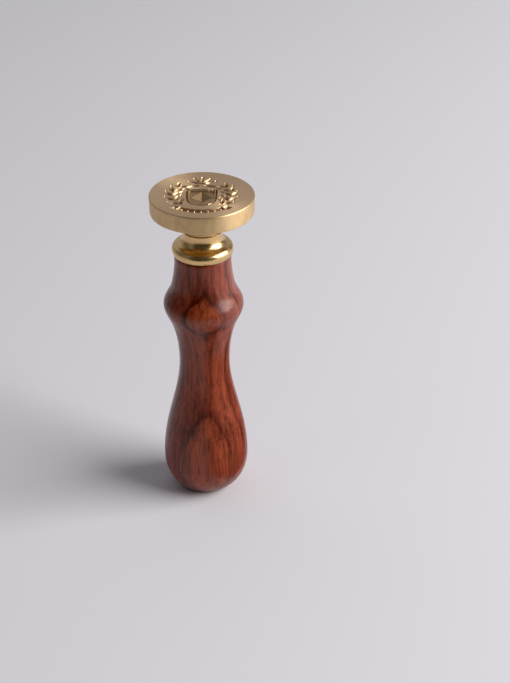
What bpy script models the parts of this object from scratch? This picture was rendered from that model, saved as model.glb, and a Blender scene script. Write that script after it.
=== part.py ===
"""Wax seal stamp, standing head up on the foot of its handle.

A turned hardwood handle holds a double-ended stud. A brass collar slides over the stud, and a
brass seal die screws down on it, with the engraved face on top. The origin is the centre of the
foot, +Z runs up the axis, and +Y is the top of the engraved design. All sizes are in metres.
"""

import math

import bmesh
import bpy
from mathutils import Matrix, Vector

MM = 0.001

# The stack, from the foot up. Pieces that would touch keep a seam between them.
SEAM = 0.3 * MM
WELD_DISTANCE = 0.001 * MM
HANDLE_HEIGHT = 66.3 * MM
COLLAR_HEIGHT = 6.05 * MM
BOSS_HEIGHT = 4.4 * MM
DISC_HEIGHT = 4.45 * MM
COLLAR_BOTTOM = HANDLE_HEIGHT + SEAM
COLLAR_TOP = COLLAR_BOTTOM + COLLAR_HEIGHT
BOSS_BOTTOM = COLLAR_TOP + SEAM
DISC_BOTTOM = BOSS_BOTTOM + BOSS_HEIGHT
FACE_HEIGHT = DISC_BOTTOM + DISC_HEIGHT

# Seal die
DISC_RADIUS = 12.5 * MM
DISC_TAPER = 0.1 * MM
FACE_CHAMFER = 0.3 * MM
BACK_ROUNDING = 0.45 * MM
BACK_POINTS = 4
NECK_RADIUS = 4.75 * MM
NECK_FILLET = 0.6 * MM
FILLET_POINTS = 5
EDGE_BREAK = 0.15 * MM
TAPPED_DEPTH = 6.2 * MM
DISC_SEGMENTS = 72
TAPPED_SEGMENTS = 21  # unlike the thread's, so that their edges never fall together

# Collar: a straight neck, a cove and a bead, all tangent to one another
COVE_RADIUS = 2.4 * MM
COVE_POINTS = 7
BEAD_CURVE = 1.5 * MM
BEAD_POINTS = 8
BEAD_RADIUS = 7.4 * MM
BEAD_MIDDLE = 1.1 * MM
UNDERCUT_CURVE = 2.4 * MM
UNDERCUT_POINTS = 4
COLLAR_BORE = 3.3 * MM
COLLAR_SEGMENTS = 40

# Handle outline: (height, radius, slope of radius against height going up)
POMMEL_HEIGHT = 9.6 * MM
POMMEL_RADIUS = 10.58 * MM
POMMEL_DEPTH = 10.7 * MM
POMMEL_ROUNDNESS = 2.23
HANDLE_STATIONS = (
    (HANDLE_HEIGHT, 6.8 * MM, 0.0),
    (57.8 * MM, 7.77 * MM, -0.24),
    (52.8 * MM, 9.77 * MM, 0.0),
    (47.8 * MM, 7.94 * MM, 0.36),
    (36.8 * MM, 6.2 * MM, 0.0),
    (21.8 * MM, 8.88 * MM, -0.245),
    (POMMEL_HEIGHT, POMMEL_RADIUS, 0.0),
)
POINTS_PER_STATION = 4
POMMEL_POINTS = 7
TOP_ROUNDING = 0.35 * MM
TOP_POINTS = 4
HANDLE_SEGMENTS = 36

# Stud: machine thread above, plain shank, coarse wood thread and point below
STUD_LENGTH = 30.0 * MM
STUD_COVER = 3.4 * MM
STUD_TOP = FACE_HEIGHT - STUD_COVER
STUD_POINT = STUD_TOP - STUD_LENGTH
MACHINE_CORE = 2.45 * MM
MACHINE_CREST = 3.0 * MM
MACHINE_PITCH = 1.0 * MM
MACHINE_TURNS = 10
MACHINE_SLOPE = math.tan(math.radians(30))
MACHINE_LEAD = 0.8 * MM
MACHINE_START = HANDLE_HEIGHT + MACHINE_LEAD
WOOD_CORE = 1.9 * MM
WOOD_CREST = 2.9 * MM
WOOD_PITCH = 2.4 * MM
WOOD_TURNS = 5
WOOD_SLOPE = math.tan(math.radians(20))
WOOD_LEAD = 0.7 * MM
WOOD_RUNOUT = 0.4
POINT_HEIGHT = 3.0 * MM
WOOD_START = STUD_POINT + POINT_HEIGHT + WOOD_LEAD
SHANK_BOTTOM = WOOD_START + (WOOD_TURNS + WOOD_RUNOUT) * WOOD_PITCH
STUD_CHAMFER = 0.5 * MM
THREAD_CLEARANCE = 0.2 * MM
THREAD_ROOT_OVERLAP = 0.18 * MM
CREST_FLAT = 0.0625
STUD_SEGMENTS = 16

# Engraving, cut down into the face
ENGRAVING_DEPTH = 0.7 * MM
CUTTER_RISE = 1.0 * MM
SHIELD_DEPTH = 0.4 * MM
SHIELD_HALF_WIDTH = 3.7 * MM
SHIELD_TOP = 2.7 * MM
SHIELD_WAIST = -1.4 * MM
SHIELD_TIP = -6.0 * MM
SHIELD_FULLNESS = 0.75
SHIELD_STEPS = 6
LOZENGE_HALF_WIDTH = 2.6 * MM
LOZENGE_HALF_HEIGHT = 3.1 * MM
LOZENGE_MIDDLE = -1.0 * MM
LOZENGE_DEPTH = 1.2 * MM
LOZENGE_RISE = 0.02 * MM
LOZENGE_SIDES = 4
LAUREL_RADIUS = 6.9 * MM
LAUREL_FIRST = math.radians(-38)
LAUREL_LAST = math.radians(42)
LAUREL_PAIRS = 5
LEAF_LENGTH = 1.3 * MM
LEAF_WIDTH = 0.6 * MM
LEAF_RISE = 0.06 * MM
LEAF_SPREAD = math.radians(34)
LEAF_OFFSET = 0.75 * MM
RIBBON_INNER = 8.0 * MM
RIBBON_OUTER = 9.8 * MM
RIBBON_HALF_ANGLE = math.radians(36)
RIBBON_POINTS = 10
PELLET_COUNT = 7
PELLET_RADIUS = 0.42 * MM
PELLET_SIDES = 8
CORONET_BASE = 5.5 * MM
CORONET_HALF_WIDTH = 1.9 * MM
CORONET_BAR = 0.45 * MM
CORONET_RADIUS = 2.3 * MM
CORONET_RAYS = 5
CORONET_SPREAD = math.radians(32)
RAY_WIDTH = 0.4 * MM
SWAG_OFFSET = 2.2 * MM
SWAG_HEIGHT = 4.3 * MM
SWAG_LENGTH = 1.7 * MM
SWAG_TILT = math.radians(16)

# Finishes: base color, roughness and metallic
SATIN_BRASS = ((0.60, 0.44, 0.24), 0.36, 1.0)
POLISHED_BRASS = ((0.66, 0.46, 0.20), 0.1, 1.0)
ROSEWOOD = ((0.13, 0.030, 0.018), 0.34, 0.0)
ZINC_STEEL = ((0.55, 0.55, 0.53), 0.35, 1.0)


def clear_scene():
    for obj in list(bpy.data.objects):
        bpy.data.objects.remove(obj, do_unlink=True)


def new_collection(name, hidden=False):
    collection = bpy.data.collections.new(name)
    collection.hide_render = hidden
    bpy.context.scene.collection.children.link(collection)
    return collection


def new_material(name, color, roughness, metallic):
    material = bpy.data.materials.new(name)
    material.use_nodes = True
    shader = material.node_tree.nodes["Principled BSDF"]
    shader.inputs["Base Color"].default_value = (*color, 1.0)
    shader.inputs["Roughness"].default_value = roughness
    shader.inputs["Metallic"].default_value = metallic
    return material


def new_object(name, mesh, collection):
    obj = bpy.data.objects.new(name, mesh)
    collection.objects.link(obj)
    return obj


def make_cutter(obj):
    obj.hide_render = True
    obj.display_type = "WIRE"
    return obj


def evaluated_mesh(obj):
    """The object's mesh with its modifiers applied."""
    graph = bpy.context.evaluated_depsgraph_get()
    return bpy.data.meshes.new_from_object(obj.evaluated_get(graph))


def bake(obj):
    """Applies the object's modifiers to its mesh."""
    mesh = evaluated_mesh(obj)
    obj.modifiers.clear()
    obj.data = mesh
    return obj


def tidy_normals(obj):
    """Welds doubled points, closes small open ends and turns every face outwards."""
    shape = bmesh.new()
    shape.from_mesh(obj.data)
    bmesh.ops.remove_doubles(shape, verts=shape.verts, dist=WELD_DISTANCE)
    open_edges = [edge for edge in shape.edges if edge.is_boundary]
    bmesh.ops.holes_fill(shape, edges=open_edges, sides=0)
    bmesh.ops.recalc_face_normals(shape, faces=shape.faces)
    shape.to_mesh(obj.data)
    shape.free()
    return obj


def shade(obj, sharp_angle=math.radians(30)):
    obj.data.shade_smooth()
    obj.data.set_sharp_from_angle(angle=sharp_angle)
    return obj


def add_screw(obj, segments, turns=1, rise=0.0):
    screw = obj.modifiers.new("Screw", "SCREW")
    screw.axis = "Z"
    screw.angle = math.tau
    screw.iterations = turns
    screw.screw_offset = rise
    screw.steps = segments
    screw.render_steps = segments
    screw.use_merge_vertices = rise == 0.0
    screw.merge_threshold = WELD_DISTANCE


def turn(name, profile, segments, collection, ring=False):
    """A solid turned about Z from (radius, height) points, listed down its outer side.

    A profile starts and ends on the axis, unless it is a ring, whose points form a closed loop.
    """
    points = [(radius, 0.0, height) for radius, height in profile]
    edges = [(i, i + 1) for i in range(len(points) - 1)]
    if ring:
        edges.append((len(points) - 1, 0))
    mesh = bpy.data.meshes.new(name)
    mesh.from_pydata(points, edges, [])
    obj = new_object(name, mesh, collection)
    add_screw(obj, segments)
    return tidy_normals(bake(obj))


def boolean(obj, other, operation):
    modifier = obj.modifiers.new(f"{operation.title()} {other.name}", "BOOLEAN")
    modifier.operation = operation
    modifier.object = other
    return obj


def arc(center, radius, start, end, count):
    """(radius, height) points of a turned arc. Angle 0 faces out, and a positive one faces up."""
    middle, height = center
    points = []
    for i in range(count):
        angle = start + (end - start) * i / (count - 1)
        points.append((middle + radius * math.cos(angle), height + radius * math.sin(angle)))
    return points


def helical_rib(name, core, crest, pitch, start, turns, slope, collection):
    """A thread's rib as a closed solid, from just inside its core out to its crest."""
    root = core - THREAD_ROOT_OVERLAP
    crest_half = CREST_FLAT * pitch
    root_half = crest_half + (crest - root) * slope
    corners = (
        (root, 0.0, start + root_half),
        (crest, 0.0, start + crest_half),
        (crest, 0.0, start - crest_half),
        (root, 0.0, start - root_half),
    )
    mesh = bpy.data.meshes.new(name)
    mesh.from_pydata(corners, [(0, 1), (1, 2), (2, 3), (3, 0)], [])
    obj = new_object(name, mesh, collection)
    add_screw(obj, STUD_SEGMENTS, turns, pitch)
    return make_cutter(tidy_normals(bake(obj)))


def machine_rib(name, clearance, first_turn, turns, collection):
    core = MACHINE_CORE + clearance
    crest = MACHINE_CREST + clearance
    start = MACHINE_START + first_turn * MACHINE_PITCH
    return helical_rib(name, core, crest, MACHINE_PITCH, start, turns, MACHINE_SLOPE, collection)


def wood_rib(name, clearance, turns, collection):
    core = WOOD_CORE + clearance
    crest = WOOD_CREST + clearance
    return helical_rib(name, core, crest, WOOD_PITCH, WOOD_START, turns, WOOD_SLOPE, collection)


def start_early(rib, pitch):
    """Winds a rib back along its own helix by one step, so that a groove starts before its thread."""
    rib.data.transform(Matrix.Rotation(-math.tau / STUD_SEGMENTS, 4, "Z"))
    rib.data.transform(Matrix.Translation((0.0, 0.0, -pitch / STUD_SEGMENTS)))
    return rib


def hermite_point(upper, lower, t):
    """A point of the smooth curve between two stations, t of the way down."""
    z0, r0, slope0 = upper
    z1, r1, slope1 = lower
    span = z1 - z0
    radius = (
        (1 - 3 * t**2 + 2 * t**3) * r0
        + (3 * t**2 - 2 * t**3) * r1
        + span * (t * (1 - t) ** 2 * slope0 + t**2 * (t - 1) * slope1)
    )
    return radius, z0 + span * t


def pommel_profile():
    """The rounded lower end, a superellipse cut off by the flat foot."""
    points = []
    for i in range(1, POMMEL_POINTS + 1):
        drop = POMMEL_HEIGHT * math.sin(math.pi / 2 * i / POMMEL_POINTS)
        share = (drop / POMMEL_DEPTH) ** POMMEL_ROUNDNESS
        radius = POMMEL_RADIUS * (1 - share) ** (1 / POMMEL_ROUNDNESS)
        points.append((radius, POMMEL_HEIGHT - drop))
    return points


def handle_profile():
    top_radius = HANDLE_STATIONS[0][1]
    corner = (top_radius - TOP_ROUNDING, HANDLE_HEIGHT - TOP_ROUNDING)
    profile = [(0.0, HANDLE_HEIGHT)]
    profile += arc(corner, TOP_ROUNDING, math.pi / 2, 0.0, TOP_POINTS)
    for upper, lower in zip(HANDLE_STATIONS, HANDLE_STATIONS[1:]):
        for i in range(1, POINTS_PER_STATION + 1):
            profile.append(hermite_point(upper, lower, i / POINTS_PER_STATION))
    profile += pommel_profile()
    profile.append((0.0, 0.0))
    return profile


def make_handle(parts, cutters):
    handle = turn("handle", handle_profile(), HANDLE_SEGMENTS, parts)
    shank_bore = MACHINE_CORE + SEAM
    pilot_bore = WOOD_CORE + THREAD_CLEARANCE
    bore = turn(
        "handle_bore",
        (
            (0.0, HANDLE_HEIGHT + CUTTER_RISE),
            (shank_bore, HANDLE_HEIGHT + CUTTER_RISE),
            (shank_bore, SHANK_BOTTOM - SEAM),
            (pilot_bore, SHANK_BOTTOM - 2 * SEAM),
            (pilot_bore, STUD_POINT + POINT_HEIGHT - SEAM),
            (SEAM, STUD_POINT - SEAM),
            (0.0, STUD_POINT - SEAM),
        ),
        STUD_SEGMENTS,
        cutters,
    )
    groove = wood_rib("handle_thread_groove", THREAD_CLEARANCE, WOOD_TURNS + 1, cutters)
    boolean(handle, make_cutter(bore), "DIFFERENCE")
    boolean(handle, start_early(groove, WOOD_PITCH), "DIFFERENCE")
    return shade(bake(handle))


def make_stud(parts, cutters):
    stud = turn(
        "threaded_stud",
        (
            (0.0, STUD_TOP),
            (MACHINE_CORE - STUD_CHAMFER, STUD_TOP),
            (MACHINE_CORE, STUD_TOP - STUD_CHAMFER),
            (MACHINE_CORE, SHANK_BOTTOM),
            (WOOD_CORE, SHANK_BOTTOM - SEAM),
            (WOOD_CORE, STUD_POINT + POINT_HEIGHT),
            (0.0, STUD_POINT),
        ),
        STUD_SEGMENTS,
        parts,
    )
    boolean(stud, machine_rib("stud_machine_thread", 0.0, 0, MACHINE_TURNS, cutters), "UNION")
    boolean(stud, wood_rib("stud_wood_thread", 0.0, WOOD_TURNS, cutters), "UNION")
    return shade(bake(stud))


def collar_profile():
    """Down the outside from the neck to the undercut bead, then back up the bore."""
    bead_height = COLLAR_BOTTOM + BEAD_MIDDLE
    both_curves = COVE_RADIUS + BEAD_CURVE
    turn_angle = math.acos(1 - (BEAD_RADIUS - NECK_RADIUS) / both_curves)
    cove_center = (NECK_RADIUS + COVE_RADIUS, bead_height + both_curves * math.sin(turn_angle))
    bead_center = (BEAD_RADIUS - BEAD_CURVE, bead_height)
    undercut_center = (BEAD_RADIUS - UNDERCUT_CURVE, bead_height)
    undercut = math.asin(BEAD_MIDDLE / UNDERCUT_CURVE)
    profile = [(NECK_RADIUS - EDGE_BREAK, COLLAR_TOP), (NECK_RADIUS, COLLAR_TOP - EDGE_BREAK)]
    profile += arc(cove_center, -COVE_RADIUS, 0.0, turn_angle, COVE_POINTS)
    profile += arc(bead_center, BEAD_CURVE, turn_angle, 0.0, BEAD_POINTS)[1:]
    profile += arc(undercut_center, UNDERCUT_CURVE, 0.0, -undercut, UNDERCUT_POINTS)[1:]
    profile += [(COLLAR_BORE, COLLAR_BOTTOM), (COLLAR_BORE, COLLAR_TOP)]
    return profile


def make_collar(parts):
    return shade(turn("collar", collar_profile(), COLLAR_SEGMENTS, parts, ring=True))


def die_profile():
    fillet_center = (NECK_RADIUS + NECK_FILLET, DISC_BOTTOM - NECK_FILLET)
    back_center = (DISC_RADIUS - DISC_TAPER - BACK_ROUNDING, DISC_BOTTOM + BACK_ROUNDING)
    profile = [
        (0.0, FACE_HEIGHT),
        (DISC_RADIUS - FACE_CHAMFER, FACE_HEIGHT),
        (DISC_RADIUS, FACE_HEIGHT - FACE_CHAMFER),
    ]
    profile += arc(back_center, BACK_ROUNDING, 0.0, -math.pi / 2, BACK_POINTS)
    profile += arc(fillet_center, -NECK_FILLET, -math.pi / 2, 0.0, FILLET_POINTS)
    profile += [
        (NECK_RADIUS, BOSS_BOTTOM + EDGE_BREAK),
        (NECK_RADIUS - EDGE_BREAK, BOSS_BOTTOM),
        (0.0, BOSS_BOTTOM),
    ]
    return profile


def tapped_hole(cutters):
    """The blind hole in the boss, with a countersunk mouth."""
    radius = MACHINE_CORE + THREAD_CLEARANCE
    mouth = MACHINE_CREST + SEAM
    return make_cutter(
        turn(
            "die_hole",
            (
                (0.0, BOSS_BOTTOM + TAPPED_DEPTH),
                (radius, BOSS_BOTTOM + TAPPED_DEPTH),
                (radius, BOSS_BOTTOM + mouth - radius),
                (mouth, BOSS_BOTTOM),
                (mouth, BOSS_BOTTOM - CUTTER_RISE),
                (0.0, BOSS_BOTTOM - CUTTER_RISE),
            ),
            TAPPED_SEGMENTS,
            cutters,
        )
    )


def make_die(parts, cutters, engraving):
    die = turn("seal_die", die_profile(), DISC_SEGMENTS, parts)
    boolean(die, tapped_hole(cutters), "DIFFERENCE")
    first_turn = round((BOSS_BOTTOM - MACHINE_START) / MACHINE_PITCH) - 1
    turns = int(TAPPED_DEPTH / MACHINE_PITCH)
    groove = machine_rib("die_thread_groove", THREAD_CLEARANCE, first_turn, turns, cutters)
    boolean(die, groove, "DIFFERENCE")
    for cutter in list(engraving.objects):
        boolean(die, cutter, "DIFFERENCE")
    return shade(bake(die))


def outline_cutter(name, outline, depth, engraving):
    """A closed (x, y) outline sunk into the face."""
    curve = bpy.data.curves.new(name, "CURVE")
    curve.dimensions = "2D"
    curve.fill_mode = "BOTH"
    curve.extrude = (depth + CUTTER_RISE) / 2
    spline = curve.splines.new("POLY")
    spline.points.add(len(outline) - 1)
    for point, (x, y) in zip(spline.points, outline):
        point.co = (x, y, 0.0, 1.0)
    spline.use_cyclic_u = True
    source = bpy.data.objects.new(name + "_outline", curve)
    bpy.context.scene.collection.objects.link(source)
    middle = FACE_HEIGHT + (CUTTER_RISE - depth) / 2
    mesh = evaluated_mesh(source)
    mesh.transform(Matrix.Translation((0.0, 0.0, middle)))
    bpy.data.objects.remove(source, do_unlink=True)
    return make_cutter(tidy_normals(new_object(name, mesh, engraving)))


def cone(name, base, lower_radius, upper_radius, height, segments, collection):
    """A pointed cone standing on a point, or balanced on its tip there, by its two radii."""
    shape = bmesh.new()
    bmesh.ops.create_cone(
        shape,
        cap_ends=True,
        segments=segments,
        radius1=lower_radius,
        radius2=upper_radius,
        depth=height,
        matrix=Matrix.Translation(base + Vector((0.0, 0.0, height / 2))),
    )
    mesh = bpy.data.meshes.new(name)
    shape.to_mesh(mesh)
    shape.free()
    return make_cutter(new_object(name, mesh, collection))


def shield_outline():
    """Straight top and upper sides, and lower sides curving in to a point."""
    lower = []
    for i in range(1, SHIELD_STEPS):
        angle = math.pi / 2 * i / SHIELD_STEPS
        x = SHIELD_HALF_WIDTH * math.cos(angle) ** SHIELD_FULLNESS
        y = SHIELD_WAIST + (SHIELD_TIP - SHIELD_WAIST) * math.sin(angle)
        lower.append((x, y))
    right = [(SHIELD_HALF_WIDTH, SHIELD_TOP), (SHIELD_HALF_WIDTH, SHIELD_WAIST)] + lower
    left = [(-x, y) for x, y in reversed(right)]
    return right + [(0.0, SHIELD_TIP)] + left


def cut_shield(engraving):
    """The shield's shallow pocket, with a four-sided lozenge cut to a point in its floor."""
    outline_cutter("engraved_shield", shield_outline(), SHIELD_DEPTH, engraving)
    tip = Vector((0.0, 0.0, FACE_HEIGHT - SHIELD_DEPTH - LOZENGE_DEPTH))
    height = LOZENGE_DEPTH + LOZENGE_RISE
    lozenge = cone("engraved_lozenge", tip, 0.0, 1.0, height, LOZENGE_SIDES, engraving)
    lozenge.data.transform(Matrix.Diagonal((LOZENGE_HALF_WIDTH, LOZENGE_HALF_HEIGHT, 1.0, 1.0)))
    lozenge.data.transform(Matrix.Translation((0.0, LOZENGE_MIDDLE, 0.0)))


def cut_leaf(name, center, heading, length, width, engraving):
    """A leaf as a long pointed ellipsoid scooped out of the face."""
    shape = bmesh.new()
    bmesh.ops.create_uvsphere(shape, u_segments=6, v_segments=5, radius=1.0)
    lay_down = Matrix.Rotation(math.pi / 2, 4, "Y")
    size = Matrix.Diagonal((length, width, ENGRAVING_DEPTH, 1.0))
    middle = FACE_HEIGHT + LEAF_RISE
    place = Matrix.Translation((*center, middle)) @ Matrix.Rotation(heading, 4, "Z")
    bmesh.ops.transform(shape, matrix=place @ size @ lay_down, verts=shape.verts)
    mesh = bpy.data.meshes.new(name)
    shape.to_mesh(mesh)
    shape.free()
    make_cutter(new_object(name, mesh, engraving))


def cut_laurel(side, engraving):
    """Paired leaves along an arc on one side of the shield. Side is 1 for +X and -1 for -X."""
    for i in range(LAUREL_PAIRS):
        angle = LAUREL_FIRST + (LAUREL_LAST - LAUREL_FIRST) * i / (LAUREL_PAIRS - 1)
        for edge in (-1, 1):
            radius = LAUREL_RADIUS + edge * LEAF_OFFSET
            center = (side * radius * math.cos(angle), radius * math.sin(angle))
            along = angle + math.pi / 2 - edge * LEAF_SPREAD
            heading = along if side > 0 else math.pi - along
            name = f"engraved_leaf_{'right' if side > 0 else 'left'}_{i}_{edge + 1}"
            cut_leaf(name, center, heading, LEAF_LENGTH, LEAF_WIDTH, engraving)


def ribbon_outline():
    outer = []
    inner = []
    for i in range(RIBBON_POINTS):
        angle = -math.pi / 2 + RIBBON_HALF_ANGLE * (2 * i / (RIBBON_POINTS - 1) - 1)
        outer.append((RIBBON_OUTER * math.cos(angle), RIBBON_OUTER * math.sin(angle)))
        inner.append((RIBBON_INNER * math.cos(angle), RIBBON_INNER * math.sin(angle)))
    return outer + inner[::-1]


def cut_ribbon(engraving, cutters):
    """A curved band with a row of plain pellets left standing in it."""
    band = outline_cutter("engraved_ribbon", ribbon_outline(), ENGRAVING_DEPTH, engraving)
    radius = (RIBBON_INNER + RIBBON_OUTER) / 2
    for i in range(PELLET_COUNT):
        angle = -math.pi / 2 + RIBBON_HALF_ANGLE * ((2 * i + 1) / PELLET_COUNT - 1)
        base = Vector((radius * math.cos(angle), radius * math.sin(angle), 0.0))
        base.z = FACE_HEIGHT - ENGRAVING_DEPTH - SEAM
        name = f"ribbon_pellet_{i}"
        pellet = cone(name, base, PELLET_RADIUS, 0.0, ENGRAVING_DEPTH, PELLET_SIDES, cutters)
        boolean(band, pellet, "DIFFERENCE")
    bake(band)


def cut_coronet(engraving):
    """A short bar with plain rays fanned over it."""
    bar = (
        (-CORONET_HALF_WIDTH, CORONET_BASE),
        (CORONET_HALF_WIDTH, CORONET_BASE),
        (CORONET_HALF_WIDTH, CORONET_BASE + CORONET_BAR),
        (-CORONET_HALF_WIDTH, CORONET_BASE + CORONET_BAR),
    )
    outline_cutter("engraved_coronet_bar", bar, ENGRAVING_DEPTH, engraving)
    for i in range(CORONET_RAYS):
        angle = math.pi / 2 + CORONET_SPREAD * (i - (CORONET_RAYS - 1) / 2)
        center = (
            CORONET_RADIUS * math.cos(angle),
            CORONET_BASE + CORONET_RADIUS * math.sin(angle),
        )
        cut_leaf(f"engraved_coronet_ray_{i}", center, angle, LEAF_LENGTH, RAY_WIDTH, engraving)


def cut_swags(engraving):
    """Two leaves that slope down from the middle, between the coronet and the shield."""
    for side in (1, -1):
        name = f"engraved_swag_{'right' if side > 0 else 'left'}"
        center = (side * SWAG_OFFSET, SWAG_HEIGHT)
        cut_leaf(name, center, -side * SWAG_TILT, SWAG_LENGTH, LEAF_WIDTH, engraving)


def build():
    clear_scene()
    parts = new_collection("wax_seal_stamp")
    cutters = new_collection("cutters", hidden=True)
    engraving = new_collection("engraving_cutters", hidden=True)
    satin_brass = new_material("satin_brass", *SATIN_BRASS)
    polished_brass = new_material("polished_brass", *POLISHED_BRASS)
    rosewood = new_material("rosewood", *ROSEWOOD)
    zinc_steel = new_material("zinc_steel", *ZINC_STEEL)

    cut_shield(engraving)
    cut_laurel(1, engraving)
    cut_laurel(-1, engraving)
    cut_ribbon(engraving, cutters)
    cut_coronet(engraving)
    cut_swags(engraving)

    make_handle(parts, cutters).data.materials.append(rosewood)
    make_stud(parts, cutters).data.materials.append(zinc_steel)
    make_collar(parts).data.materials.append(polished_brass)
    make_die(parts, cutters, engraving).data.materials.append(satin_brass)


build()
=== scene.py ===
"""The looks of the wax seal stamp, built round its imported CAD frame.

Shapes are worked out in millimetres and turned into metres when a mesh is made. The handle and
the collar take their outlines from the frame's own nodes, the die its heights and widths.
"""

import math
from collections import namedtuple

import bpy
import numpy as np
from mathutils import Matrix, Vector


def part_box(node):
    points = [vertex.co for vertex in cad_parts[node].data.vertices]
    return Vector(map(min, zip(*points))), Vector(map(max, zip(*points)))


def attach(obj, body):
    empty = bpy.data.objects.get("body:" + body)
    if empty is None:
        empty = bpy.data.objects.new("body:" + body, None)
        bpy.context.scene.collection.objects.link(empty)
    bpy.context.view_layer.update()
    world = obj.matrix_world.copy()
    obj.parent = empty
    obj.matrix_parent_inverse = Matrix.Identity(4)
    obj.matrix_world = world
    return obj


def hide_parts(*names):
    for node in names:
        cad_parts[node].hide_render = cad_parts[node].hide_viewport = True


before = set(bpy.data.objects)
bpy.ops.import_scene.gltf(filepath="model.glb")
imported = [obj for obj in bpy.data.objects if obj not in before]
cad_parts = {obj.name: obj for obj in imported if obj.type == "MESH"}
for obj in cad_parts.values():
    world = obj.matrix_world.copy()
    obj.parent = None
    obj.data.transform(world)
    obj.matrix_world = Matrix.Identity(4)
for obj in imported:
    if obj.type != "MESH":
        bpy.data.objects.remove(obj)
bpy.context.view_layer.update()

MM = 0.001

# Turned surfaces
HANDLE_SEGMENTS = 160
COLLAR_SEGMENTS = 200
STUD_SEGMENTS = 64
HANDLE_ROWS_PER_SPAN = 6
COLLAR_ROWS_PER_SPAN = 4
CORNER_ANGLE = math.radians(25)
SHARP_ANGLE = math.radians(34)
SAME_RING = 0.01
HANDLE_INSIDE = 4.5
COLLAR_INSIDE = 3.6
COLLAR_BORE = 3.3

# Threads, as on the CAD stud: V ribs on a right-hand helix. The slope is that of a rib's flank.
Thread = namedtuple("Thread", "core crest pitch slope")
MACHINE = Thread(core=2.45, crest=3.0, pitch=1.0, slope=math.tan(math.radians(30)))
MACHINE_TURNS = 10
MACHINE_LIFT = 0.8
WOOD = Thread(core=1.9, crest=2.9, pitch=2.4, slope=math.tan(math.radians(20)))
WOOD_TURNS = 5
WOOD_LEAD = 0.7
WOOD_RUNOUT = 0.4
CREST_FLAT = 0.0625
FADE_TURNS = 0.5
CLEARANCE = 0.2
SEAM = 0.3

# Stud and the bore round it, with the heights between their rows of points
STUD_CHAMFER = 0.5
POINT_HEIGHT = 3.0
POINT_RADIUS = 0.12
PLAIN_SHANK = 0.5
MACHINE_STEP = 0.125
WOOD_STEP = 0.2
BORE_STEP = 0.3
BORE_STOP = 0.7

# Seal die
FACE, SIDE, UNDER = range(3)
FACE_GRID = 220
FACE_FIELD = 10.9
MARGIN_RADII = (11.3, 11.7)
MARGIN_LAST = 0.03
DISC_HEIGHT = 4.45
DISC_TAPER = 0.1
FACE_CHAMFER = 0.3
CHAMFER_ARC = (1.3, 0.25)
CHAMFER_ROWS = 5
SIDE_START = 0.35
SIDE_HEIGHT = 3.6
SIDE_ROWS = 4
BACK_ROUNDING = 0.45
BACK_ROWS = 7
UNDER_RADII = (9.0, 6.4)
NECK_RADIUS = 4.75
NECK_FILLET = 0.6
FILLET_ROWS = 6
BOSS_ROW = 1.5
EDGE_BREAK = 0.1
JOINT_GAP = 0.12
MOUTH_RADIUS = 3.5
MOUTH_DEPTH = 0.45
TAPPED_DEPTH = 6.2
TAPPED_STEP = 0.25

# Engraving, sunk into the face
WALL = 0.16
CUT_SLOPE = 1.15
LEAF_FULLNESS = 0.8
LEAF_TAPER = 0.25
SHIELD_HALF_WIDTH = 3.7
SHIELD_TOP = 2.7
SHIELD_WAIST = -1.4
SHIELD_TIP = -6.0
SHIELD_FULLNESS = 0.75
SHIELD_TIP_SLOPE = 0.8
SHIELD_LINE = 0.34
SHIELD_RIM = 0.3
LINE_DEPTH = 0.55
FIELD_DEPTH = 0.4
LOZENGE_HALF_WIDTH = 2.6
LOZENGE_HALF_HEIGHT = 3.1
LOZENGE_MIDDLE = -1.0
LOZENGE_SLOPE = 0.6
LAUREL_RADIUS = 6.9
LAUREL_FIRST = math.radians(-38)
LAUREL_LAST = math.radians(42)
LAUREL_PAIRS = 5
LEAF_LENGTH = 1.35
LEAF_WIDTH = 0.66
LEAF_SPREAD = math.radians(34)
LEAF_OFFSET = 0.75
STEM_HALF_WIDTH = 0.2
STEM_FOOT = 0.25
STEM_TIP = 0.1
BERRY_RADIUS = 0.27
BERRY_OFFSET = 1.7
SCROLL_RADIUS = 5.0
SCROLL_FIRST = math.radians(-30)
SCROLL_LAST = math.radians(36)
SCROLL_COUNT = 4
SCROLL_LENGTH = 1.0
SCROLL_WIDTH = 0.42
SCROLL_LEAN = math.radians(28)
RIBBON_INNER = 8.0
RIBBON_OUTER = 9.8
RIBBON_HALF_ANGLE = math.radians(36)
RIBBON_DEPTH = 0.55
TAIL_SHIFT = 0.35
TAIL_GAP = 0.02
TAIL_HALF_ANGLE = math.radians(47)
TAIL_WALL = 0.7
NOTCH_HALF_WIDTH = 0.7
NOTCH_SLOPE = 0.55
PELLET_COUNT = 7
PELLET_RADIUS = 0.42
PELLET_HEIGHT = 0.9 * RIBBON_DEPTH
PELLET_WALL = 0.3
CORONET_BASE = 5.5
CORONET_HALF_WIDTH = 1.9
CORONET_BAR = 0.5
CORONET_DEPTH = 0.5
CORONET_RADIUS = 2.1
CORONET_RAYS = 5
CORONET_SPREAD = math.radians(32)
RAY_WIDTH = 0.42
PEARL_RADIUS = 0.3
PEARL_DISTANCE = 3.55
SWAG_OFFSET = 2.2
SWAG_HEIGHT = 4.3
SWAG_LENGTH = 1.8
SWAG_WIDTH = 0.62
SWAG_TILT = math.radians(16)

# Sockets of the color mix node, whose names its other kinds share
MIX_FACTOR, MIX_A, MIX_B = 0, 6, 7
MIX_RESULT = 2

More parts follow.
